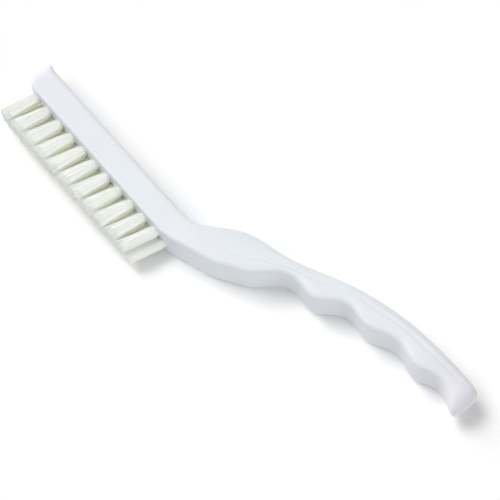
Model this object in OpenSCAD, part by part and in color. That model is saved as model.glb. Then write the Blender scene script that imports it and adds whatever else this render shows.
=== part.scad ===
// Grout brush: a one-piece moulded handle whose straight block holds two staggered rows of bristle tufts.
// The brush lies on its side. X runs from the nose to the grip, the bristles point to -Y and the flat
// side of the grip rests on Z = 0. The origin is under the middle of the whole brush.

/* [Brush block] */
// Width of the block, across its two rows of tufts
block_w = 15.5; // [14:0.5:24]
// Thickness of the block, from the bristle face to the back
block_t = 11.8; // [10:0.2:18]
// Radius of the long edges at the back
back_edge_r = 2.2; // [1:0.1:3]
// Radius of the long edges round the bristle face
face_edge_r = 1.2; // [0.5:0.1:2]
// Length of the nose's curve down to the bristle face
nose_face_l = 7.2; // [3:0.1:7.2]
// Height of that curve
nose_face_h = 9; // [3:0.1:9.6]
// Radius of the nose where it meets the back
nose_back_r = 1.4; // [0.6:0.1:2.5]
// Radius of the nose's corners, seen from the back
nose_side_r = 5.5; // [1:0.1:6]
// Height of the lip that turns up at the nose
nose_lip_h = 1.5; // [0:0.1:2]
// Length of that lip
nose_lip_l = 6; // [4:0.5:10]

/* [Tuft holes] */
// Holes in each of the two rows
row_n = 11; // [4:1:12]
// Distance from hole to hole along a row
hole_pitch = 7.6; // [6.6:0.1:9]
// Distance between the centre lines of the two rows
row_gap = 4.3; // [3.6:0.1:5.2]
// Distance from the nose to the first hole
nose_margin = 8.8; // [8.4:0.1:14]
// Distance from the last hole to the start of the neck's bend
heel_margin = -3.2; // [-3.2:0.1:6]
// Diameter of a hole
hole_d = 4.4; // [3.8:0.1:4.8]
// Depth of a hole, along its axis
hole_depth = 7; // [6:0.1:8]
// Lean of the holes and their tufts towards the nose
hole_lean = 9; // [0:1:12]

/* [Tufts] */
// Height of the trimmed bristles above the bristle face
bristle_h = 15.4; // [8:0.1:20]
// Gap between the fanned tips of neighbours in a row
tip_gap = 1; // [0.6:0.1:2]
// Gap between the fanned tips of the two rows
row_tip_gap = 0.3; // [0.2:0.1:1]
// Share of their fan that the first tufts keep on the side towards the nose
nose_fan_share = 0.5; // [0.4:0.1:1]
// Share of their fan that the last tufts keep on the side towards the grip
heel_fan_share = 0.4; // [0.4:0.1:1]
// Thickness of one strand, from corner to corner
strand_d = 0.62; // [0.4:0.02:0.66]
// Largest difference in length between the cut strands
ragged = 0.5; // [0:0.1:1]
// Radial clearance of a tuft in its hole
tuft_clearance = 0.05; // [0.02:0.01:0.1]

/* [Anchors] */
// Thickness of the flat wire
anchor_t = 0.4; // [0.3:0.05:0.6]
// Height of the flat wire, along the hole
anchor_h = 1.6; // [1:0.1:2]
// Depth that each end of the wire bites into the wall of the hole
anchor_bite = 0.3; // [0.2:0.05:0.5]
// Thickness of the fold of bristle under the wire
fold_t = 1; // [0.6:0.1:1.4]

/* [Neck] */
// Angle that the neck bends away from the bristle face
neck_bend = 35; // [20:1:45]
// Length of the bend
neck_bend_l = 22; // [18:1:30]
// Length over which the bend eases into the grip's own angle
neck_ease_l = 35; // [28:1:45]
// Distance from the block to the slimmest place of the neck
neck_slim_at = 9; // [6:1:12]
// Depth of the neck below its spine, at its thickest
neck_belly = 9.2; // [7:0.1:10]
// Distance from the block to the start of that thickest stretch
neck_belly_at = 26; // [18:1:28]
// Length of that thickest stretch
neck_belly_l = 10; // [6:1:18]
// Height of the thumb rest's hump above the grip's back
hump_h = 3.2; // [0:0.1:4]
// Distance from the block to the top of the hump
hump_at = 29; // [24:1:36]
// Height of the sloped flanks beside the hump
flank_h = 8.8; // [4:0.1:9]
// Distance from the block to where those flanks start
flank_from = 15; // [10:1:20]
// Distance from the block to where they are highest
flank_at = 33; // [28:1:38]
// Depth of the thumb rest's hollow below the grip's back
thumb_hollow = 1.2; // [0:0.1:2]
// Distance from the block to the bottom of the hollow
hollow_at = 51; // [42:1:60]
// Length over which the block widens into the grip
neck_widen_l = 14; // [8:1:24]

/* [Grip] */
// Width of the grip, between its two flat sides
grip_w = 16.5; // [14:0.5:22]
// Angle of the grip to the block, before it droops
grip_angle = 21; // [10:1:30]
// Angle that the grip droops by, from there to its end
grip_droop = 39; // [20:1:50]
// Height of the grip's back above its spine
grip_back = 6; // [5:0.1:8]
// Rise of the back over the second groove, the last ridge and the end
back_rise = [0.6, -0.4, 2]; // [-1:0.1:2]
// Distance from the block to the first finger groove
first_groove = 54.5; // [50:0.5:65]
// Distance from one finger groove to the next
groove_pitch = 24.6; // [20:0.2:28]
// Depth of the belly below the spine in each of the four grooves
groove_belly = [2.8, 2.6, 4.2, 3.0]; // [2:0.1:5]
// Depth of the belly below the spine on each of the three ridges between them
ridge_belly = [6.6, 6.4, 7.1]; // [5:0.1:9]
// Depth of the belly below the spine at the hooked end
end_belly = 5; // [4:0.1:8]
// Length of the hooked end beyond the last groove
end_l = 13; // [12:0.1:22]
// Length of the rounded cap at the very end
end_cap_l = 4.5; // [3:0.5:9]
// Slant of the end's face, cut back towards the grip's back
end_slant = 15; // [0:1:18]
// Length over which the sections lean into that slant
end_slant_l = 14; // [10:1:20]
// Width of the hooked end
end_w = 13; // [10:0.5:16]
// Radius of the long edges on the belly
belly_edge_r = 2; // [1:0.1:2.4]
// Half width of the rounding along the grip's back
back_round_w = 6.5; // [4:0.1:6.6]
// Height of the rounding along the grip's back
back_round_h = 4.4; // [2:0.1:4.5]

/* [Hidden] */
rows = ["near", "far"];
// Strands in the middle of a tuft, in its inner ring and in its outer ring
strand_rings = [1, 6, 13];
strand_n = strand_rings[0] + strand_rings[1] + strand_rings[2];
strand_sides = 4;
// How far the strands run down into the root of the tuft, which ends below the bristle face
strand_root = 1;
plug_recess = 0.5;
// How far the outer strands stand in from the edge of the root
strand_inset = 0.2;
// Crown of the loft over each flat side, which the flats then cut away
side_crown = 0.15;
// Flats left at least along the back and along each side, between their roundings
back_flat = 0.6;
side_flat = 0.4;
// Growth of the back's rounding from the block to the start of the flanks
flank_start = 0.8;
ring_step = 2.4;
corner_steps = 6;
hole_segments = 48;
// How far a cutting shape reaches past what it cuts
reach_past = 2;

block_mid = block_t / 2;
block_len = nose_margin + (row_n - 0.5) * hole_pitch + heel_margin;
bend_end = block_len + neck_bend_l;
groove_at = [for (k = [0:3]) block_len + first_groove + k * groove_pitch];
ridge_at = [for (k = [0:2]) groove_at[k] + groove_pitch / 2];
spine_len = groove_at[3] + end_l;
// Share of the way from the first groove to the second at which the droop starts, and how sharply it grows
droop_share = 0.7;
droop_power = 1.7;
droop_start = groove_at[0] + droop_share * groove_pitch;
// How squarely the cap closes at the very end
end_cap_power = 3;

// Places along the spine, each with the height of the back above it
back_knots = [
    [0, block_mid + nose_lip_h],
    [nose_lip_l, block_mid],
    [block_len + neck_slim_at, grip_back],
    [block_len + hump_at, grip_back + hump_h],
    [block_len + hollow_at, grip_back - thumb_hollow],
    [groove_at[1], grip_back + back_rise[0]],
    [ridge_at[2], grip_back + back_rise[1]],
    [spine_len, grip_back + back_rise[2]]
];
// Places along the spine, each with the depth of the belly below it
belly_knots = [
    [block_len + neck_slim_at, block_mid],
    [block_len + neck_belly_at, neck_belly],
    [block_len + neck_belly_at + neck_belly_l, neck_belly],
    [groove_at[0], groove_belly[0]],
    [ridge_at[0], ridge_belly[0]],
    [groove_at[1], groove_belly[1]],
    [ridge_at[1], ridge_belly[1]],
    [groove_at[2], groove_belly[2]],
    [ridge_at[2], ridge_belly[2]],
    [groove_at[3], groove_belly[3]],
    [spine_len, end_belly]
];
// Places along the spine, each with half the width there
width_knots = [
    [0, block_w / 2],
    [block_len, block_w / 2],
    [block_len + neck_widen_l, grip_w / 2 + side_crown],
    [ridge_at[2], grip_w / 2 + side_crown],
    [spine_len - end_cap_l, end_w / 2]
];
// Places along the spine, each with the rounding's width and height along the back, and its radius on the belly
round_w_knots = [[block_len, back_edge_r], [bend_end, back_round_w]];
round_h_knots = [
    [block_len, back_edge_r],
    [block_len + flank_from, back_edge_r + flank_start],
    [block_len + flank_at, flank_h],
    [block_len + hollow_at, back_round_h]
];
edge_knots = [[block_len, face_edge_r], [bend_end, belly_edge_r]];
// Places along the spine, each with how far the sections lean into the end's slant
slant_knots = [[spine_len - end_slant_l, 0], [spine_len - end_cap_l, tan(end_slant)]];

// Distances along the spine of the sections that the handle is lofted through
nose_rings = [for (a = [0:15:75]) nose_face_l * (1 - cos(a))];
mid_start = block_len - ring_step;
mid_end = spine_len - end_cap_l;
mid_n = ceil((mid_end - mid_start) / ring_step);
mid_rings = [for (k = [0:mid_n]) mid_start + (mid_end - mid_start) * k / mid_n];
end_rings = [for (a = [20, 38, 54, 67, 77, 84]) mid_end + end_cap_l * sin(a)];
rings = concat(nose_rings, [nose_face_l, nose_face_l + nose_lip_l / 4], mid_rings, end_rings);

function unit_range(u) = max(0, min(1, u));
function ease(u) = (1 - cos(180 * unit_range(u))) / 2;

// Value at a place s, eased from knot to knot
function at(s, knots) =
    s <= knots[0][0] ? knots[0][1] :
    s >= knots[len(knots) - 1][0] ? knots[len(knots) - 1][1] :
    let (
        i = max([for (k = [0:len(knots) - 2]) if (knots[k][0] <= s) k]),
        a = knots[i],
        b = knots[i + 1]
    )
    a[1] + (b[1] - a[1]) * ease((s - a[0]) / (b[0] - a[0]));

// Angle of the spine to the block at a distance s along it
function heading(s) =
    neck_bend * sin(90 * unit_range((s - block_len) / neck_bend_l))
    - (neck_bend - grip_angle) * ease((s - bend_end) / neck_ease_l)
    - grip_droop * pow(unit_range((s - droop_start) / (spine_len - droop_start)), droop_power);

// Spine point of each section, one step after another
function walk(i) =
    i == 0 ? [[rings[0], block_mid]] :
    let (
        before = walk(i - 1),
        last = before[i - 1],
        step = rings[i] - rings[i - 1],
        a = heading((rings[i] + rings[i - 1]) / 2)
    )
    concat(before, [last + step * [cos(a), sin(a)]]);

// How far a corner of length l and height h has drawn in at a distance s from the nose
function drawn_in(s, l, h) = s < l ? h * (1 - sqrt(1 - pow(1 - s / l, 2))) : 0;

// Quarter of an ellipse, from the first angle on
function corner(centre, reach, start) =
    [for (k = [0:corner_steps])
        let (a = start + 90 * k / corner_steps)
        centre + [reach[0] * sin(a), reach[1] * cos(a)]];

// Outline of the section at s, as heights above the spine and places across the brush
function section(s) =
    let (
        back = at(s, back_knots) - drawn_in(s, nose_back_r, nose_back_r),
        belly = at(s, belly_knots) - drawn_in(s, nose_face_l, nose_face_h),
        half_w = at(s, width_knots) - drawn_in(s, nose_side_r, nose_side_r),
        full_h = at(s, round_h_knots),
        full_edge = at(s, edge_knots),
        fit = min(1, (back + belly - side_flat) / (full_h + full_edge)),
        round_z = min(at(s, round_w_knots), half_w - back_flat / 2),
        round_h = full_h * fit,
        edge = full_edge * fit,
        outline = concat(
            corner([back - round_h, half_w - round_z], [round_h, round_z], 0),
            corner([back - round_h, round_z - half_w], [round_h, round_z], 90),
            corner([edge - belly, edge - half_w], [edge, edge], 180),
            corner([edge - belly, half_w - edge], [edge, edge], 270)
        ),
        u = unit_range((s - mid_end) / end_cap_l),
        close = pow(1 - pow(u, end_cap_power), 1 / end_cap_power),
        middle = [(back - belly) / 2, 0]
    )
    [for (p = outline) middle + (p - middle) * close];

spine = walk(len(rings) - 1);
ring_n = 4 * (corner_steps + 1);
handle_points = [
    for (i = [0:len(rings) - 1])
        let (
            a = heading(rings[i]),
            slant = at(rings[i], slant_knots),
            up = [-sin(a), cos(a)] - slant * [cos(a), sin(a)]
        )
        for (p = section(rings[i])) [spine[i].x + p[0] * up.x, spine[i].y + p[0] * up.y, p[1]]
];
handle_faces = concat(
    [[for (k = [ring_n - 1:-1:0]) k]],
    [for (i = [0:len(rings) - 2]) for (k = [0:ring_n - 1])
        let (a = i * ring_n + k, b = i * ring_n + (k + 1) % ring_n)
        each [[a, b, a + ring_n], [b, b + ring_n, a + ring_n]]],
    [[for (k = [0:ring_n - 1]) (len(rings) - 1) * ring_n + k]]
);

// Extent of the whole brush, which sets the origin under its middle
x_max = max([for (p = handle_points) p.x]);
y_min = min([for (p = handle_points) p.y]);
y_max = max([for (p = handle_points) p.y]);
centre = [x_max / 2, (y_max - bristle_h) / 2, -grip_w / 2];

// Sizes of a tuft at its root and at its fanned tip
tip_l = hole_pitch - tip_gap;
tip_w = row_gap / sqrt(1 - pow(hole_pitch / 2 / tip_l, 2)) - row_tip_gap;
tuft_d = hole_d - 2 * tuft_clearance;
root_reach = tuft_d / 2 - strand_d / 2 - strand_inset;
tip_reach = [tip_l / 2 - strand_d / 2, tip_w / 2 - strand_d / 2];
tip_shift = bristle_h * tan(hole_lean);

// Reach of tuft i's tip along the row, on the side where a strand stands
function fan(i, side) =
    tip_reach[0] * (i == 1 && side < 0 ? nose_fan_share : i == row_n && side > 0 ? heel_fan_share : 1);
function row_z(row) = row == "near" ? row_gap / 2 : -row_gap / 2;
function hole_x(row, i) = nose_margin + (i - 1 + (row == "near" ? 0 : 0.5)) * hole_pitch;
function node_name(row, i) = str("tuft_", row, i < 10 ? "_0" : "_", i);
tuft_names = [for (row = rows) for (i = [1:row_n]) node_name(row, i)];

// Places what follows at a hole's mouth, with +Y along the hole into the block
module at_hole(row, i) {
    translate([hole_x(row, i), 0, row_z(row)])
        rotate([0, 0, -hole_lean])
            children();
}

module along_hole(d, from, to) {
    translate([0, from, 0])
        rotate([-90, 0, 0])
            cylinder(d = d, h = to - from, $fn = hole_segments);
}

// The flat wire that lies across a hole, with the fold of the tuft under it
module anchor_wire() {
    wire_l = hole_d + 2 * anchor_bite;
    translate([-anchor_t / 2, hole_depth - fold_t - anchor_h, -wire_l / 2])
        cube([anchor_t, anchor_h, wire_l]);
}

module anchors(row) {
    color("silver")
        for (i = [1:row_n])
            at_hole(row, i)
                anchor_wire();
}

// One strand, from a point under the bristle face to its cut tip
module strand(root, tip) {
    turns = [for (k = [0:strand_sides - 1]) 360 * (k + 0.5) / strand_sides];
    points = [for (end = [root, tip]) for (a = turns) end + strand_d / 2 * [cos(a), 0, sin(a)]];
    sides = [for (k = [0:strand_sides - 1])
        let (m = (k + 1) % strand_sides)
        each [[k, k + strand_sides, m], [m, k + strand_sides, m + strand_sides]]];
    ends = [for (k = [1:strand_sides - 2])
        each [[0, k, k + 1], [strand_sides, strand_sides + k + 1, strand_sides + k]]];
    polyhedron(points, concat(sides, ends));
}

module tuft(row, i) {
    foot = [hole_x(row, i), 0, row_z(row)];
    cut = rands(0, ragged, strand_n, 2 * i + (row == "near" ? 0 : 1));
    places = [
        for (ring = [0:len(strand_rings) - 1])
            for (k = [0:strand_rings[ring] - 1])
                let (a = 360 * (k + 0.25 * i) / strand_rings[ring])
                ring / (len(strand_rings) - 1) * [cos(a), sin(a)]
    ];
    color([0.93, 0.94, 0.88]) {
        difference() {
            at_hole(row, i)
                along_hole(tuft_d, plug_recess, hole_depth);
            at_hole(row, i)
                anchor_wire();
        }
        for (k = [0:len(places) - 1]) {
            at_root = [places[k].x, 0, places[k].y] * root_reach;
            fanned = places[k].x * fan(i, places[k].x);
            at_tip = [fanned - tip_shift, -bristle_h, places[k].y * tip_reach[1]];
            run = at_tip - at_root;
            root = at_root - run * strand_root / bristle_h;
            tip = at_root + run * (1 - (k == 0 ? 0 : cut[k]) / bristle_h);
            strand(foot + root, foot + tip);
        }
    }
}

module handle() {
    color([0.92, 0.94, 0.96])
        difference() {
            intersection() {
                polyhedron(handle_points, handle_faces);
                translate([-reach_past, y_min - reach_past, -grip_w / 2])
                    cube([x_max + 2 * reach_past, y_max - y_min + 2 * reach_past, grip_w]);
            }
            for (row = rows)
                for (i = [1:row_n])
                    at_hole(row, i) {
                        along_hole(hole_d, -reach_past, hole_depth);
                        anchor_wire();
                    }
        }
}

// Moves what follows so that the origin is under the middle of the brush
module placed() {
    translate(-centre)
        children();
}

placed() handle();
for (row = rows)
    for (i = [1:row_n])
        placed() tuft(row, i);
placed() anchors("near");  // anchors_near
placed() anchors("far");  // anchors_far
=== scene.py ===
import math
import random

import bpy
from mathutils import Matrix, Vector


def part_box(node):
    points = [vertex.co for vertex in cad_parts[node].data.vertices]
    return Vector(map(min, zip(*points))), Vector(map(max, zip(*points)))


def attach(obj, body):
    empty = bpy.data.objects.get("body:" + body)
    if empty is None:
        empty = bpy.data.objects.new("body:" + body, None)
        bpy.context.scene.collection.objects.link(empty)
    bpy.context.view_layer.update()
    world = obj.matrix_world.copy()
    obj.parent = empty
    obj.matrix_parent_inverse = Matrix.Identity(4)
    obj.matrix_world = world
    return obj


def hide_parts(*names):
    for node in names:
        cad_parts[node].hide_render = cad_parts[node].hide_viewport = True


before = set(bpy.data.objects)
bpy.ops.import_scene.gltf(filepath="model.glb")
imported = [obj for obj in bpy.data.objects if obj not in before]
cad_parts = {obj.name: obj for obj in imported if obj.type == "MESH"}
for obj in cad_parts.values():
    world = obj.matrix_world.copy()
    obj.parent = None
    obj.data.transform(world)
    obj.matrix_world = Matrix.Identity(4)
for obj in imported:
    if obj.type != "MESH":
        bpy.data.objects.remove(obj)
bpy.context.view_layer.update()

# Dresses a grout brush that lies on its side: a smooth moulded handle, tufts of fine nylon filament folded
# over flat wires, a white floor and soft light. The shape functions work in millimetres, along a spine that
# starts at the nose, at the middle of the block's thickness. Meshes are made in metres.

MM = 0.001

# Block, holes and tufts
BLOCK_W = 15.5
BLOCK_T = 11.8
BLOCK_MID = BLOCK_T / 2
BACK_EDGE_R = 2.2
FACE_EDGE_R = 1.2
NOSE_FACE_L = 7.2
NOSE_FACE_H = 9
NOSE_BACK_R = 1.4
NOSE_SIDE_R = 5.5
NOSE_LIP_H = 1.5
NOSE_LIP_L = 6
ROW_N = 11
HOLE_PITCH = 7.6
ROW_GAP = 4.3
NOSE_MARGIN = 8.8
HEEL_MARGIN = -3.2
HOLE_D = 4.4
HOLE_DEPTH = 7
HOLE_LEAN = math.radians(9)
HOLE_SEGMENTS = 40
# How far the shape that cuts a hole stands out of the bristle face
CUT_REACH = 2
BRISTLE_H = 15.4
TIP_GAP = 1
ROW_TIP_GAP = 0.3
RAGGED = 0.7
FOLD_T = 1
BLOCK_LEN = NOSE_MARGIN + (ROW_N - 0.5) * HOLE_PITCH + HEEL_MARGIN

# Neck
NECK_BEND = 35
NECK_BEND_L = 22
NECK_EASE_L = 35
NECK_SLIM_AT = 9
NECK_BELLY = 9.2
NECK_BELLY_AT = 26
NECK_BELLY_L = 10
NECK_WIDEN_L = 14
HUMP_H = 3.2
HUMP_AT = 29
FLANK_H = 8.8
FLANK_FROM = 15
FLANK_AT = 33
# Growth of the back's rounding from the block to the start of the flanks
FLANK_START = 0.8
HOLLOW_AT = 51
THUMB_HOLLOW = 1.2

# Grip
GRIP_W = 16.5
GRIP_ANGLE = 21
GRIP_DROOP = 39
GRIP_BACK = 6
BACK_RISE = [0.6, -0.4, 2]
FIRST_GROOVE = 54.5
GROOVE_PITCH = 24.6
GROOVE_BELLY = [2.8, 2.6, 4.2, 3.0]
RIDGE_BELLY = [6.6, 6.4, 7.1]
END_BELLY = 5
END_L = 13
END_CAP_L = 4.5
END_CAP_POWER = 3
END_SLANT = math.radians(15)
END_SLANT_L = 14
END_W = 13
BELLY_EDGE_R = 2
END_EDGE_R = 4
# Distances from the end between which the belly's edges grow to that radius
END_EDGE_FROM = 16
END_EDGE_TO = 6
END_ROUND_L = 7
BACK_ROUND_W = 6.5
BACK_ROUND_H = 4.4
DROOP_SHARE = 0.7
DROOP_POWER = 1.7
GROOVE_AT = [BLOCK_LEN + FIRST_GROOVE + k * GROOVE_PITCH for k in range(4)]
RIDGE_AT = [GROOVE_AT[k] + GROOVE_PITCH / 2 for k in range(3)]
SPINE_LEN = GROOVE_AT[3] + END_L
DROOP_START = GROOVE_AT[0] + DROOP_SHARE * GROOVE_PITCH

# Fineness of the handle's mesh, and the witness line that the mould leaves on its sides
RING_STEP = 1.2
# Angle in degrees from ring to ring where the handle closes at its ends
RING_TURN = 6
SPINE_STEP = 0.3
CORNER_STEPS = 12
SIDE_STEPS = 5
SIDE_CROWN = 0.2
BACK_FLAT = 0.6
SIDE_FLAT = 0.4
LINE_DEPTH = 0.25
LINE_W = 0.5
LINE_OFFSETS = [1.6, 0.6, 0.25, 0, -0.25, -0.6, -1.6]
# How near the line may come to a side's edge, and how much of the room beside it its rings take up
LINE_MARGIN = 0.1
LINE_ROOM = 0.9
# Angles in degrees over which an edge is drawn sharp
HANDLE_SHARP = 35
HOLE_SHARP = 30
FILAMENT_SHARP = 50

# Places along the spine, each with a value there, eased from one to the next
BACK = [
    (0, BLOCK_MID + NOSE_LIP_H),
    (NOSE_LIP_L, BLOCK_MID),
    (BLOCK_LEN + NECK_SLIM_AT, GRIP_BACK),
    (BLOCK_LEN + HUMP_AT, GRIP_BACK + HUMP_H),
    (BLOCK_LEN + HOLLOW_AT, GRIP_BACK - THUMB_HOLLOW),
    (GROOVE_AT[1], GRIP_BACK + BACK_RISE[0]),
    (RIDGE_AT[2], GRIP_BACK + BACK_RISE[1]),
    (SPINE_LEN, GRIP_BACK + BACK_RISE[2]),
]
BELLY = [
    (BLOCK_LEN + NECK_SLIM_AT, BLOCK_MID),
    (BLOCK_LEN + NECK_BELLY_AT, NECK_BELLY),
    (BLOCK_LEN + NECK_BELLY_AT + NECK_BELLY_L, NECK_BELLY),
    (GROOVE_AT[0], GROOVE_BELLY[0]),
    (RIDGE_AT[0], RIDGE_BELLY[0]),
    (GROOVE_AT[1], GROOVE_BELLY[1]),
    (RIDGE_AT[1], RIDGE_BELLY[1]),
    (GROOVE_AT[2], GROOVE_BELLY[2]),
    (RIDGE_AT[2], RIDGE_BELLY[2]),
    (GROOVE_AT[3], GROOVE_BELLY[3]),
    (SPINE_LEN, END_BELLY),
]
HALF_W = [
    (0, BLOCK_W / 2),
    (BLOCK_LEN, BLOCK_W / 2),
    (BLOCK_LEN + NECK_WIDEN_L, GRIP_W / 2),
    (RIDGE_AT[2], GRIP_W / 2),
    (SPINE_LEN - END_CAP_L, END_W / 2),
]
# The back's rounding: its width, its height and how full its curve is (2 is an ellipse)
ROUND_W = [(BLOCK_LEN, BACK_EDGE_R), (BLOCK_LEN + NECK_BEND_L, BACK_ROUND_W)]
ROUND_H = [
    (BLOCK_LEN, BACK_EDGE_R),
    (BLOCK_LEN + FLANK_FROM, BACK_EDGE_R + FLANK_START),
    (BLOCK_LEN + FLANK_AT, FLANK_H),
    (BLOCK_LEN + HOLLOW_AT, BACK_ROUND_H),
]
ROUND_POWER = [(BLOCK_LEN, 2), (BLOCK_LEN + 29, 1.7), (BLOCK_LEN + 50, 2.2)]
EDGE = [
    (BLOCK_LEN, FACE_EDGE_R),
    (BLOCK_LEN + NECK_BEND_L, BELLY_EDGE_R),
    (SPINE_LEN - END_EDGE_FROM, BELLY_EDGE_R),
    (SPINE_LEN - END_EDGE_TO, END_EDGE_R),
]
# Height of the witness line over the spine, and how deep it is as a share of its full depth
LINE_H = [
    (BLOCK_LEN + 20, -1.5), (BLOCK_LEN + 33, -3.7), (BLOCK_LEN + 55, -1.4), (BLOCK_LEN + 80, 2.4),
    (BLOCK_LEN + 100, 2), (BLOCK_LEN + 130, 2.4),
]
LINE_SHARE = [(BLOCK_LEN + 8, 0), (BLOCK_LEN + 30, 1), (BLOCK_LEN + 130, 1), (BLOCK_LEN + 133, 0)]


def ease(u):
    """Goes from 0 to 1 as u does, slowly at either end."""
    return (1 - math.cos(math.pi * min(1, max(0, u)))) / 2


def bulge(t):
    """0 at both ends of a stretch and 1 halfway, at a share t of it."""
    return 4 * t * (1 - t)


def full_turn(n):
    """n angles, evenly round a circle."""
    return [2 * math.pi * k / n for k in range(n)]


def at(s, knots):
    """Value at a place s, eased from knot to knot."""
    if s <= knots[0][0]:
        return knots[0][1]
    for (s0, v0), (s1, v1) in zip(knots, knots[1:]):
        if s < s1:
            return v0 + (v1 - v0) * ease((s - s0) / (s1 - s0))
    return knots[-1][1]


def heading(s):
    """Angle of the spine to the block at a distance s along it, in radians."""
    bend = NECK_BEND * math.sin(math.pi / 2 * min(1, max(0, (s - BLOCK_LEN) / NECK_BEND_L)))
    eased = (NECK_BEND - GRIP_ANGLE) * ease((s - BLOCK_LEN - NECK_BEND_L) / NECK_EASE_L)
    droop = GRIP_DROOP * min(1, max(0, (s - DROOP_START) / (SPINE_LEN - DROOP_START))) ** DROOP_POWER
    return math.radians(bend - eased - droop)


def ring_places():
    """Distances along the spine of the handle's rings, closer together at its two ends."""
    nose = [NOSE_FACE_L * (1 - math.cos(math.radians(a))) for a in range(0, 90, RING_TURN)]
    end_at = SPINE_LEN - END_CAP_L
    n = math.ceil((end_at - NOSE_FACE_L) / RING_STEP)
    middle = [NOSE_FACE_L + (end_at - NOSE_FACE_L) * k / n for k in range(n + 1)]
    end = [end_at + END_CAP_L * math.sin(math.radians(a)) for a in range(RING_TURN, 90, RING_TURN)]
    return nose + middle + end


def drawn_in(s, length, height):
    """How far a corner of that length and height has drawn in at a distance s from the nose."""
    return height * (1 - math.sqrt(1 - (1 - s / length) ** 2)) if s < length else 0


def arc(reach, power, start, stop):
    """Points of a rounded corner from one angle to another, from its own middle."""
    points = []
    for k in range(CORNER_STEPS + 1):
        a = math.radians(start + (stop - start) * k / CORNER_STEPS)
        c, d = math.cos(a), math.sin(a)
        points.append((
            reach[0] * math.copysign(abs(c) ** (2 / power), c),
            reach[1] * math.copysign(abs(d) ** (2 / power), d),
        ))
    return points


def half_section(s):
    """Heights over the spine and places across, from the back down one side to the belly."""
    back = at(s, BACK) - drawn_in(s, NOSE_BACK_R, NOSE_BACK_R)
    belly = at(s, BELLY) - drawn_in(s, NOSE_FACE_L, NOSE_FACE_H)
    crown = SIDE_CROWN * ease((s - BLOCK_LEN) / NECK_WIDEN_L)
    half_w = at(s, HALF_W) - drawn_in(s, NOSE_SIDE_R, NOSE_SIDE_R) - crown
    full_h, full_edge = at(s, ROUND_H), at(s, EDGE)
    fit = min(1, (back + belly - SIDE_FLAT) / (full_h + full_edge))
    round_h, edge = full_h * fit, full_edge * fit
    round_w = min(at(s, ROUND_W), half_w - BACK_FLAT / 2)
    top, bottom = back - round_h, edge - belly

    points = [(back, 0)]
    points += [(top + h, half_w - round_w + z) for h, z in arc((round_h, round_w), at(s, ROUND_POWER), 0, 90)]
    margin = LINE_MARGIN * (top - bottom)
    line_h = min(top - margin, max(bottom + margin, at(s, LINE_H)))
    room = min(top - line_h, line_h - bottom)
    reach = min(1, LINE_ROOM * room / LINE_OFFSETS[0])
    heights = [top + (line_h + LINE_OFFSETS[0] * reach - top) * k / SIDE_STEPS for k in range(1, SIDE_STEPS)]
    heights += [line_h + offset * reach for offset in LINE_OFFSETS]
    low = line_h + LINE_OFFSETS[-1] * reach
    heights += [low + (bottom - low) * k / SIDE_STEPS for k in range(1, SIDE_STEPS)]
    for h in heights:
        across = (h - bottom) / (top - bottom)
        groove = at(s, LINE_SHARE) * LINE_DEPTH * math.exp(-(((h - line_h) / (LINE_W / 2)) ** 2))
        points.append((h, half_w + crown * bulge(across) - groove))
    points += [(bottom + h, half_w - edge + z) for h, z in arc((edge, edge), 2, 90, 180)]
    points.append((-belly, 0))

    u = max(0, (s - (SPINE_LEN - END_CAP_L)) / END_CAP_L)
    close = (1 - u ** END_CAP_POWER) ** (1 / END_CAP_POWER)
    v = max(0, (s - (SPINE_LEN - END_ROUND_L)) / END_ROUND_L)
    close_w = math.sqrt(1 - v ** 2)
    middle = (back - belly) / 2
    return [(middle + (h - middle) * close, z * close_w) for h, z in points]


def handle_rings():
    """The handle's rings of points, in order along its spine, in the brush's own millimetres."""
    rings = []
    x, y, last = 0, BLOCK_MID, 0
    for s in ring_places():
        steps = max(1, round((s - last) / SPINE_STEP))
        for k in range(steps):
            a = heading(last + (s - last) * (k + 0.5) / steps)
            x += (s - last) / steps * math.cos(a)
            y += (s - last) / steps * math.sin(a)
        last = s
        a = heading(s)
        slant = math.tan(END_SLANT) * ease((s - SPINE_LEN + END_SLANT_L) / (END_SLANT_L - END_CAP_L))
        along = Vector((math.cos(a), math.sin(a), 0))
        up = Vector((-math.sin(a), math.cos(a), 0)) - slant * along
        half = half_section(s)
        outline = half + [(h, -z) for h, z in half[-2:0:-1]]
        rings.append([Vector((x, y, z)) + h * up for h, z in outline])
    return rings


RINGS = handle_rings()
LOW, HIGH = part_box("handle")
# What turns a point of the brush into its place in the frame, where the nose and the back set it
CENTRE = Vector((
    -LOW.x / MM,
    max(p.y for ring in RINGS for p in ring) - HIGH.y / MM,
    -(LOW.z + HIGH.z) / 2 / MM,
))


def mesh_object(name, points, faces, sharp_angle):
    """An object made of points in the brush's own millimetres, smooth but for edges over that angle."""
    mesh = bpy.data.meshes.new(name)
    mesh.from_pydata([(p - CENTRE) * MM for p in points], [], faces)
    mesh.shade_smooth()
    mesh.set_sharp_from_angle(angle=math.radians(sharp_angle))
    piece = bpy.data.objects.new(name, mesh)
    bpy.context.scene.collection.objects.link(piece)
    return piece


def loft(rings):
    """Points and faces of a closed skin through rings of as many points each."""
    n = len(rings[0])
    points = [p for ring in rings for p in ring]
    faces = [tuple(range(n))]
    for i in range(len(rings) - 1):
        for k in range(n):
            a, b = i * n + k, i * n + (k + 1) % n
            faces.append((b, a, a + n, b + n))
    faces.append(tuple(reversed(range(len(points) - n, len(points)))))
    return points, faces


def hole_foot(row, i):
    """Middle of the mouth of hole i of a row."""
    stagger, side = (0, 1) if row == "near" else (0.5, -1)
    return Vector((NOSE_MARGIN + (i + stagger) * HOLE_PITCH, 0, side * ROW_GAP / 2))


HOLE_ALONG = Vector((math.sin(HOLE_LEAN), math.cos(HOLE_LEAN), 0))
HOLE_ACROSS = Vector((math.cos(HOLE_LEAN), -math.sin(HOLE_LEAN), 0))
SIDEWAYS = Vector((0, 0, 1))


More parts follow.
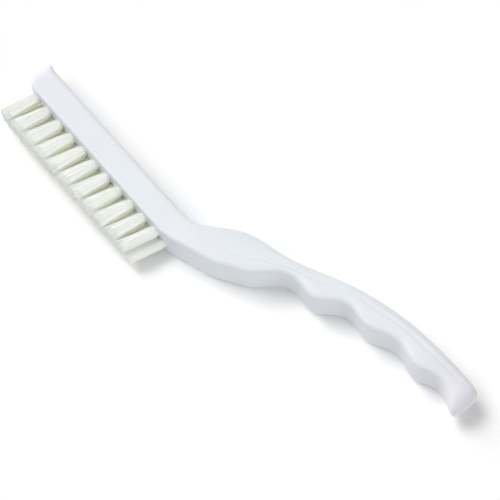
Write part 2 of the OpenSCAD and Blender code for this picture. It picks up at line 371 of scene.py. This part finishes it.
def cutter():
    """The shape of all the tuft holes, which stands a little out of the bristle face."""
    points, faces = [], []
    for row in ("near", "far"):
        for i in range(ROW_N):
            rings = []
            for depth in (-CUT_REACH, HOLE_DEPTH):
                middle = hole_foot(row, i) + HOLE_ALONG * depth
                turns = full_turn(HOLE_SEGMENTS)
                around = [HOLE_ACROSS * math.cos(t) + SIDEWAYS * math.sin(t) for t in turns]
                rings.append([middle + HOLE_D / 2 * out for out in around])
            more_points, more_faces = loft(rings)
            faces += [tuple(len(points) + k for k in face) for face in more_faces]
            points += more_points
    return mesh_object("holes", points, faces, HOLE_SHARP)


def apply_modifiers(piece):
    """Puts what the modifiers make into the piece's own mesh."""
    evaluated = piece.evaluated_get(bpy.context.evaluated_depsgraph_get())
    mesh = bpy.data.meshes.new_from_object(evaluated)
    piece.modifiers.clear()
    piece.data = mesh


def make_handle():
    """The handle with its tuft holes cut out."""
    piece = mesh_object("brush_handle", *loft(RINGS), HANDLE_SHARP)
    holes = cutter()
    cut = piece.modifiers.new("holes", "BOOLEAN")
    cut.operation = "DIFFERENCE"
    cut.solver = "EXACT"
    cut.object = holes
    apply_modifiers(piece)
    bpy.data.objects.remove(holes)
    piece.data.set_sharp_from_angle(angle=math.radians(HANDLE_SHARP))
    return piece


# Filaments
FILAMENT_D = 0.27
FILAMENT_PITCH = 0.28
FILAMENT_SIDES = 4
FILAMENT_STEPS = 5
FIRST_STEP = 0.35
FOLD_STEPS = 4
TIP_JITTER = 0.08
BEND_JITTER = 0.06
STRAY_SHARE = 0.03
STRAY_REACH = 0.9
# The middle of a tuft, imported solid: its share of the tuft's width, the share of the tuft's height that it
# reaches, and how deep it goes into the hole
CORE_SHARE = 0.86
CORE_TOP = 0.85
CORE_DEPTH = 1.5
CORE_SIDES = 24
CORE_STEPS = 5
# Gap between a tuft and the wall of its hole
HOLE_GAP = 0.06
PACKED_R = HOLE_D / 2 - HOLE_GAP - FILAMENT_D / 2
TIP_L = HOLE_PITCH - TIP_GAP
TIP_W = ROW_GAP / math.sqrt(1 - (HOLE_PITCH / 2 / TIP_L) ** 2) - ROW_TIP_GAP
TIP_REACH = ((HOLE_PITCH - FILAMENT_D) / 2, (TIP_W - FILAMENT_D) / 2)
# How far a tuft's round packing has gone square at its tips, and how many times sooner than that it does so
TIP_SQUARE = 0.85
SQUARE_AT_ONCE = 16
# Smallest distance from a tuft's middle that counts in working out how square it is
MIDDLE = 0.001
# Filaments this close together, along the brush and across it, are cut alike, and most clumps only a little
CLUMP = (0.45, 2.1)
CLUMP_POWER = 1.5
# How much of a filament's cut it shares with its clump, and how much is its own
CUT_SHARES = (0.7, 0.3)
# Keeps the corners of a slanting cut tip within the trimmed height
TIP_MARGIN = FILAMENT_D / 4
# Share of its fan that a tuft keeps on one side: the nose's own tuft, the one behind it and the last two
NOSE_FAN = {"near": 0.5, "far": 1.35}
HEEL_FAN = 0.25


def packed_places():
    """Places of one leg of each folded filament in its hole: half a hexagonal packing."""
    places = []
    row_step = FILAMENT_PITCH * math.sqrt(3) / 2
    rows = math.ceil(PACKED_R / row_step)
    for j in range(-rows, rows + 1):
        z = j * row_step
        x = FILAMENT_PITCH * (0.5 if j % 2 else 1) - FILAMENT_PITCH / 4
        while math.hypot(x, z) <= PACKED_R:
            places.append((x, z))
            x += FILAMENT_PITCH
    return places


def fanned(place, row, i):
    """Where a place in a tuft's hole has fanned out to at the tips, apart from the tuft's lean."""
    x, z = place
    spread = squared(place, 1) / PACKED_R
    fan = 1
    if i == 0 and x < 0:
        fan = NOSE_FAN[row]
    if i == ROW_N - 1 and x > 0:
        fan = HEEL_FAN
    return x * spread * fan * TIP_REACH[0], z * spread * TIP_REACH[1]


def squared(place, t):
    """How much further out a place lies, at a share t of the height, as the round tuft goes square."""
    x, z = place
    out = math.hypot(x, z)
    return 1 + TIP_SQUARE * min(1, SQUARE_AT_ONCE * t) * (out / max(abs(x), abs(z), MIDDLE) - 1)


def on_the_way(place, row, i, t):
    """Where a place in a tuft's hole lies at a share t of the tuft's height, apart from the tuft's lean."""
    x, z = place
    tip_x, tip_z = fanned(place, row, i)
    root = squared(place, t)
    return x * root * (1 - t) + tip_x * t, z * root * (1 - t) + tip_z * t


def clump(place, row, i):
    """How far a filament's neighbours are cut short of the full height with it, as a share."""
    x, z = place
    cell = f"{row} {i} {math.floor(x / CLUMP[0])} {math.floor(z / CLUMP[1])}"
    return random.Random(cell).random() ** CLUMP_POWER


def leg(place, row, i, chance):
    """Points of one leg of a filament, from its cut tip down to the wire."""
    foot = hole_foot(row, i)
    x, z = place
    stray = STRAY_REACH * chance.uniform(-1, 1) if chance.random() < STRAY_SHARE else 0
    lean = chance.gauss(0, TIP_JITTER) + stray - BRISTLE_H * math.tan(HOLE_LEAN)
    side = chance.gauss(0, TIP_JITTER)
    uneven = CUT_SHARES[0] * clump(place, row, i) + CUT_SHARES[1] * chance.random()
    cut = BRISTLE_H - TIP_MARGIN - RAGGED * uneven
    bend = (chance.gauss(0, BEND_JITTER), chance.gauss(0, BEND_JITTER))
    points = []
    for k in list(range(FILAMENT_STEPS, 0, -1)) + [FIRST_STEP]:
        t = cut / BRISTLE_H * k / FILAMENT_STEPS
        sway = bulge(t)
        out_x, out_z = on_the_way(place, row, i, t)
        points.append(foot + Vector((
            out_x + lean * t + bend[0] * sway,
            -BRISTLE_H * t,
            out_z + side * t + bend[1] * sway,
        )))
    points.append(foot + HOLE_ACROSS * x + SIDEWAYS * z)
    points.append(foot + HOLE_ACROSS * x + SIDEWAYS * z + HOLE_ALONG * (HOLE_DEPTH - FOLD_T))
    return points


def fold(foot, place):
    """Points of the filament's turn under the wire, from one leg to the other."""
    x, z = place
    drop = (FOLD_T - FILAMENT_D) * x / PACKED_R
    points = []
    for k in range(1, FOLD_STEPS):
        a = math.pi * k / FOLD_STEPS
        along = HOLE_DEPTH - FOLD_T + drop * math.sin(a)
        points.append(foot + HOLE_ACROSS * x * math.cos(a) + SIDEWAYS * z + HOLE_ALONG * along)
    return points


def tube(path):
    """Rings round a filament's path, which turns about the wire, so one direction stays across all of it."""
    rings = []
    for k, p in enumerate(path):
        run = (path[min(k + 1, len(path) - 1)] - path[max(k - 1, 0)]).normalized()
        out = SIDEWAYS.cross(run).normalized()
        side = run.cross(out)
        turns = full_turn(FILAMENT_SIDES)
        rings.append([p + FILAMENT_D / 2 * (out * math.cos(t) + side * math.sin(t)) for t in turns])
    return rings


def core(row, i):
    """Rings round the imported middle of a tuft, which its outer filaments cover."""
    foot = hole_foot(row, i)
    radius = CORE_SHARE * PACKED_R
    places = [(radius * math.cos(a), radius * math.sin(a)) for a in full_turn(CORE_SIDES)]
    rings = [[foot + HOLE_ACROSS * x + SIDEWAYS * z + HOLE_ALONG * CORE_DEPTH for x, z in places]]
    for k in range(CORE_STEPS + 1):
        t = CORE_TOP * k / CORE_STEPS
        ring = []
        for place in places:
            x, z = on_the_way(place, row, i, t)
            ring.append(foot + Vector((x - BRISTLE_H * math.tan(HOLE_LEAN) * t, -BRISTLE_H * t, z)))
        rings.append(ring)
    return rings


def make_tuft(row, i):
    """A tuft: its packed middle and its folded filaments."""
    chance = random.Random(f"{row} {i}")
    lofts = [loft(core(row, i))]
    for x, z in packed_places():
        down = leg((x, z), row, i, chance)
        up = leg((-x, z), row, i, chance)
        turn = fold(hole_foot(row, i), (x, z))
        lofts.append(loft(tube(down + turn + up[::-1])))
    points, faces = [], []
    for more_points, more_faces in lofts:
        faces += [tuple(len(points) + k for k in face) for face in more_faces]
        points += more_points
    return mesh_object(f"bristles_{row}_{i + 1:02d}", points, faces, FILAMENT_SHARP)


# Materials: pairs of colours and of roughness that a pattern goes between, and noises in repeats a metre
HANDLE_COOL = ((0.765, 0.79, 0.835), (0.755, 0.805, 0.83))
HANDLE_VIOLET = ((0.775, 0.765, 0.82), (0.76, 0.77, 0.815))
HANDLE_ROUGH = (0.36, 0.48)
HANDLE_MOTTLE = {"scale": 55, "detail": 2, "stretch": (0.4, 1, 1)}
HANDLE_GLOSS = {"scale": 400}
HANDLE_GRAIN = {"scale": 2200, "detail": 2}
HANDLE_SPECULAR = 0.4
NYLON_OUTSIDE = ((0.925, 0.94, 0.91), (0.97, 0.985, 0.96))
# Painted shade: a yellower, a little lighter nylon colour where the tufts shade each other, in place of light
# passing through the nylon
NYLON_PAINTED_SHADE = ((0.965, 0.965, 0.865), (0.985, 0.985, 0.895))
NYLON_ROUGH = (0.35, 0.5)
NYLON_GLOSS = {"scale": 900}
NYLON_GRAIN = {"scale": 3000, "detail": 2, "stretch": (1, 0.15, 1)}
WIRE_COLOURS = ((0.55, 0.54, 0.50), (0.68, 0.67, 0.63))
WIRE_ROUGH = (0.3, 0.45)
WIRE_GRAIN = {"scale": 900, "detail": 4, "stretch": (1, 1, 0.05)}
# Depth of the grain in metres, and the part of a noise's range over which a colour changes
GRAIN_DEPTH = 0.00002
COLOUR_RANGE = (0.3, 0.7)
# Where along the handle it is coolest, and the distances from there at which violet starts and is full, as
# shares of its length
COOLEST_AT = 0.48
VIOLET_FROM = 0.15
VIOLET_FULL = 0.55
# Distances from the middle of the brush's width between which the tufts go from their own colour to the
# painted shade, a yellower and a little lighter colour that stands in for light passing through the nylon
# where the tufts shade each other
SHADE_TINT_FROM = 4.2
SHADE_TINT_FULL = 1.6
# How far past the last near tuft's hole the painted shade colour ends, and how far before it that starts to
# fade
HEEL_PAST = 1.5
HEEL_BEFORE = 1


def node_material(name):
    """A material, its nodes, a function that links them, and its shader."""
    material = bpy.data.materials.new(name)
    material.use_nodes = True
    nodes = material.node_tree.nodes
    shader = nodes["Principled BSDF"]
    return material, nodes, material.node_tree.links.new, shader


def noise(nodes, link, scale, detail=3, stretch=(1, 1, 1)):
    """A noise over the object's own coordinates, in repeats a metre."""
    place = nodes.new("ShaderNodeTexCoord")
    mapping = nodes.new("ShaderNodeMapping")
    mapping.inputs["Scale"].default_value = stretch
    texture = nodes.new("ShaderNodeTexNoise")
    texture.inputs["Scale"].default_value = scale
    texture.inputs["Detail"].default_value = detail
    link(place.outputs["Object"], mapping.inputs["Vector"])
    link(mapping.outputs["Vector"], texture.inputs["Vector"])
    return texture.outputs["Fac"]


def between(nodes, link, factor, low, high):
    """A colour between two, by a factor."""
    ramp = nodes.new("ShaderNodeValToRGB")
    ramp.color_ramp.elements[0].color = (*low, 1)
    ramp.color_ramp.elements[1].color = (*high, 1)
    ramp.color_ramp.elements[0].position = COLOUR_RANGE[0]
    ramp.color_ramp.elements[1].position = COLOUR_RANGE[1]
    link(factor, ramp.inputs["Fac"])
    return ramp.outputs["Color"]


def number(nodes, link, factor, low, high):
    """A number between two, by a factor."""
    spread = nodes.new("ShaderNodeMapRange")
    spread.inputs["To Min"].default_value = low
    spread.inputs["To Max"].default_value = high
    link(factor, spread.inputs["Value"])
    return spread.outputs["Result"]


def bump(nodes, link, height, shader):
    """Raises a surface's grain by a height between 0 and 1."""
    node = nodes.new("ShaderNodeBump")
    node.inputs["Strength"].default_value = 1
    node.inputs["Distance"].default_value = GRAIN_DEPTH
    link(height, node.inputs["Height"])
    link(node.outputs["Normal"], shader.inputs["Normal"])


def blend(nodes, link, factor, one, other):
    """A mix of two colours that are worked out elsewhere."""
    mix = nodes.new("ShaderNodeMix")
    mix.data_type = "RGBA"
    link(factor, mix.inputs["Factor"])
    link(one, mix.inputs["A"])
    link(other, mix.inputs["B"])
    return mix.outputs["Result"]


def ramp_along(nodes, link, axis, start, stop, middle=None):
    """Eases from 0 at one place along an axis of the frame to 1 at another, both in metres.

    With a middle, the places are distances to either side of it.
    """
    place = nodes.new("ShaderNodeTexCoord")
    parts = nodes.new("ShaderNodeSeparateXYZ")
    link(place.outputs["Object"], parts.inputs["Vector"])
    value = parts.outputs[axis]
    if middle is not None:
        off = nodes.new("ShaderNodeMath")
        off.operation = "SUBTRACT"
        off.inputs[1].default_value = middle
        link(value, off.inputs[0])
        size = nodes.new("ShaderNodeMath")
        size.operation = "ABSOLUTE"
        link(off.outputs["Value"], size.inputs[0])
        value = size.outputs["Value"]
    spread = nodes.new("ShaderNodeMapRange")
    spread.interpolation_type = "SMOOTHSTEP"
    spread.inputs["From Min"].default_value = start
    spread.inputs["From Max"].default_value = stop
    link(value, spread.inputs["Value"])
    return spread.outputs["Result"]


def product(nodes, link, one, other):
    """The product of two numbers worked out elsewhere."""
    node = nodes.new("ShaderNodeMath")
    node.operation = "MULTIPLY"
    link(one, node.inputs[0])
    link(other, node.inputs[1])
    return node.outputs["Value"]


def handle_plastic():
    """White moulded plastic, satin and faintly mottled, cool at the neck and more violet away from it."""
    material, nodes, link, shader = node_material("handle_plastic")
    mottle = noise(nodes, link, **HANDLE_MOTTLE)
    cool = between(nodes, link, mottle, *HANDLE_COOL)
    violet = between(nodes, link, mottle, *HANDLE_VIOLET)
    length = HIGH.x - LOW.x
    coolest = LOW.x + COOLEST_AT * length
    far = ramp_along(nodes, link, "X", VIOLET_FROM * length, VIOLET_FULL * length, coolest)
    link(blend(nodes, link, far, cool, violet), shader.inputs["Base Color"])
    link(number(nodes, link, noise(nodes, link, **HANDLE_GLOSS), *HANDLE_ROUGH), shader.inputs["Roughness"])
    bump(nodes, link, noise(nodes, link, **HANDLE_GRAIN), shader)
    shader.inputs["Specular IOR Level"].default_value = HANDLE_SPECULAR
    return material


def painted_shade_share(nodes, link):
    """Share of painted shade: 1 at the tufts' roots in the middle of the brush's width, and 0 at tips,
    outside and heel.
    """
    deep = ramp_along(nodes, link, "Z", SHADE_TINT_FROM * MM, SHADE_TINT_FULL * MM, -CENTRE.z * MM)
    root = ramp_along(nodes, link, "Y", (-CENTRE.y - BRISTLE_H) * MM, (-CENTRE.y - BRISTLE_H / 2) * MM)
    heel = NOSE_MARGIN + (ROW_N - 1) * HOLE_PITCH - CENTRE.x
    before_heel = ramp_along(nodes, link, "X", (heel + HEEL_PAST) * MM, (heel - HEEL_BEFORE) * MM)
    return product(nodes, link, product(nodes, link, deep, root), before_heel)


def bristle_nylon():
    """Natural nylon, creamy white, each filament a little different, with painted shade: yellower and a
    little lighter at the roots in the middle of the brush's width, where the tufts shade each other.
    """
    material, nodes, link, shader = node_material("bristle_nylon")
    island = nodes.new("ShaderNodeNewGeometry").outputs["Random Per Island"]
    outside = between(nodes, link, island, *NYLON_OUTSIDE)
    shade_tint = between(nodes, link, island, *NYLON_PAINTED_SHADE)
    # Painted shade: mixes in the yellower colour where the tufts shade each other near their roots
    link(blend(nodes, link, painted_shade_share(nodes, link), outside, shade_tint), shader.inputs["Base Color"])
    link(number(nodes, link, noise(nodes, link, **NYLON_GLOSS), *NYLON_ROUGH), shader.inputs["Roughness"])
    bump(nodes, link, noise(nodes, link, **NYLON_GRAIN), shader)
    return material


def anchor_wire():
    """Flat drawn wire, brushed along its length."""
    material, nodes, link, shader = node_material("anchor_wire")
    grain = noise(nodes, link, **WIRE_GRAIN)
    link(between(nodes, link, grain, *WIRE_COLOURS), shader.inputs["Base Color"])
    link(number(nodes, link, grain, *WIRE_ROUGH), shader.inputs["Roughness"])
    shader.inputs["Metallic"].default_value = 1
    return material


def dress(piece, material, slot_name, *nodes_replaced):
    """Gives a piece its material, rides it on the brush and shows it in place of CAD nodes. The slot name is
    not used.
    """
    piece.data.materials.clear()
    piece.data.materials.append(material)
    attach(piece, "root")
    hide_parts(*nodes_replaced)


# Floor, light and camera
# Half the floor's width in metres, and how far it lies under the brush in millimetres
FLOOR_HALF = 3
FLOOR_DROP = 0.01
WHITE = (1, 1, 1, 1)
# Strength of the world as a light, and as the camera and mirrors see it
SKY_LIGHT = 0.04
SKY_SEEN = 1
# Soft lamps: angle from straight overhead, angle round the brush, strength and spread
LAMPS = [
    (26, 180, 0.39, 25), (38, 180, 0.43, 25), (38, 210, 0.32, 25), (40, 40, 0.45, 40), (40, 200, 0.87, 40),
    (40, 240, 0.17, 40), (40, 280, 0.43, 40), (60, 45, 0.12, 40), (60, 180, 0.33, 40), (60, 270, 0.13, 40),
    (78, 0, 0.92, 40), (78, 135, 0.28, 40), (78, 180, 0.52, 40),
]
# Light goes on from filament to filament many times before pale nylon takes it up
DIFFUSE_BOUNCES = 16
MAX_BOUNCES = 24
VIEW_DISTANCE = 1.1
VIEW_FROM = Vector((0.3266, -0.2683, 0.9063))
VIEW_RIGHT = Vector((0.6348, 0.7727, 0))
VIEW_TARGET = Vector((113.7, 23.84, 0))
PIXELS_PER_MM = 2.56
IMAGE_W = 500
SENSOR = 36
CLIP_START = 0.01
CLIP_END = 20


def is_seen(nodes, link):
    """1 for rays that come from the camera or by way of a mirror or glass, and 0 for the others."""
    path = nodes.new("ShaderNodeLightPath")
    either = nodes.new("ShaderNodeMath")
    either.operation = "MAXIMUM"
    link(path.outputs["Is Camera Ray"], either.inputs[0])
    link(path.outputs["Is Glossy Ray"], either.inputs[1])
    any_of = nodes.new("ShaderNodeMath")
    any_of.operation = "MAXIMUM"
    link(either.outputs["Value"], any_of.inputs[0])
    link(path.outputs["Is Transmission Ray"], any_of.inputs[1])
    return any_of.outputs["Value"]


def make_floor():
    """A plain white floor, which keeps the brush's shadow."""
    mesh = bpy.data.meshes.new("floor")
    corners = [(-1, -1), (1, -1), (1, 1), (-1, 1)]
    points = [(x * FLOOR_HALF, y * FLOOR_HALF, -FLOOR_DROP * MM) for x, y in corners]
    mesh.from_pydata(points, [], [(0, 1, 2, 3)])
    floor = bpy.data.objects.new("floor", mesh)
    bpy.context.scene.collection.objects.link(floor)
    material, _, _, shader = node_material("white_floor")
    shader.inputs["Base Color"].default_value = WHITE
    shader.inputs["Roughness"].default_value = 1
    shader.inputs["Specular IOR Level"].default_value = 0
    mesh.materials.append(material)


def make_light():
    """A white world and a ring of soft lamps."""
    world = bpy.data.worlds.new("studio")
    world.use_nodes = True
    bpy.context.scene.world = world
    nodes, link = world.node_tree.nodes, world.node_tree.links.new
    sky = nodes["Background"]
    sky.inputs["Color"].default_value = WHITE
    link(number(nodes, link, is_seen(nodes, link), SKY_LIGHT, SKY_SEEN), sky.inputs["Strength"])
    for k, (tilt, turn, strength, spread) in enumerate(LAMPS):
        sun = bpy.data.lights.new(f"soft_lamp_{k}", "SUN")
        sun.energy = strength
        sun.angle = math.radians(spread)
        lamp = bpy.data.objects.new(f"soft_lamp_{k}", sun)
        lamp.rotation_euler = (math.radians(tilt), 0, math.radians(turn + 90))
        bpy.context.scene.collection.objects.link(lamp)


def make_camera():
    """The camera at the photograph's viewing angle."""
    data = bpy.data.cameras.new("camera")
    data.sensor_width = SENSOR
    data.lens = SENSOR * PIXELS_PER_MM / MM * VIEW_DISTANCE / IMAGE_W
    data.clip_start = CLIP_START
    data.clip_end = CLIP_END
    camera = bpy.data.objects.new("camera", data)
    camera.location = (VIEW_TARGET - CENTRE) * MM + VIEW_FROM.normalized() * VIEW_DISTANCE
    back = VIEW_FROM.normalized()
    right = (VIEW_RIGHT - back * VIEW_RIGHT.dot(back)).normalized()
    up = back.cross(right)
    turn = [[right.x, up.x, back.x], [right.y, up.y, back.y], [right.z, up.z, back.z]]
    camera.rotation_euler = Matrix(turn).to_euler()
    bpy.context.scene.collection.objects.link(camera)
    bpy.context.scene.camera = camera


make_camera()
make_light()
make_floor()

nylon = bristle_nylon()
for row in ("near", "far"):
    for i in range(ROW_N):
        dress(make_tuft(row, i), nylon, "bristle_nylon", f"tuft_{row}_{i + 1:02d}")
dress(make_handle(), handle_plastic(), "handle_plastic", "handle")
wire = anchor_wire()
for name in ("anchors_near", "anchors_far"):
    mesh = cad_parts[name].data
    mesh.materials.clear()
    mesh.materials.append(wire)

bpy.context.scene.view_settings.view_transform = "Standard"
bpy.context.scene.cycles.diffuse_bounces = DIFFUSE_BOUNCES
bpy.context.scene.cycles.max_bounces = MAX_BOUNCES
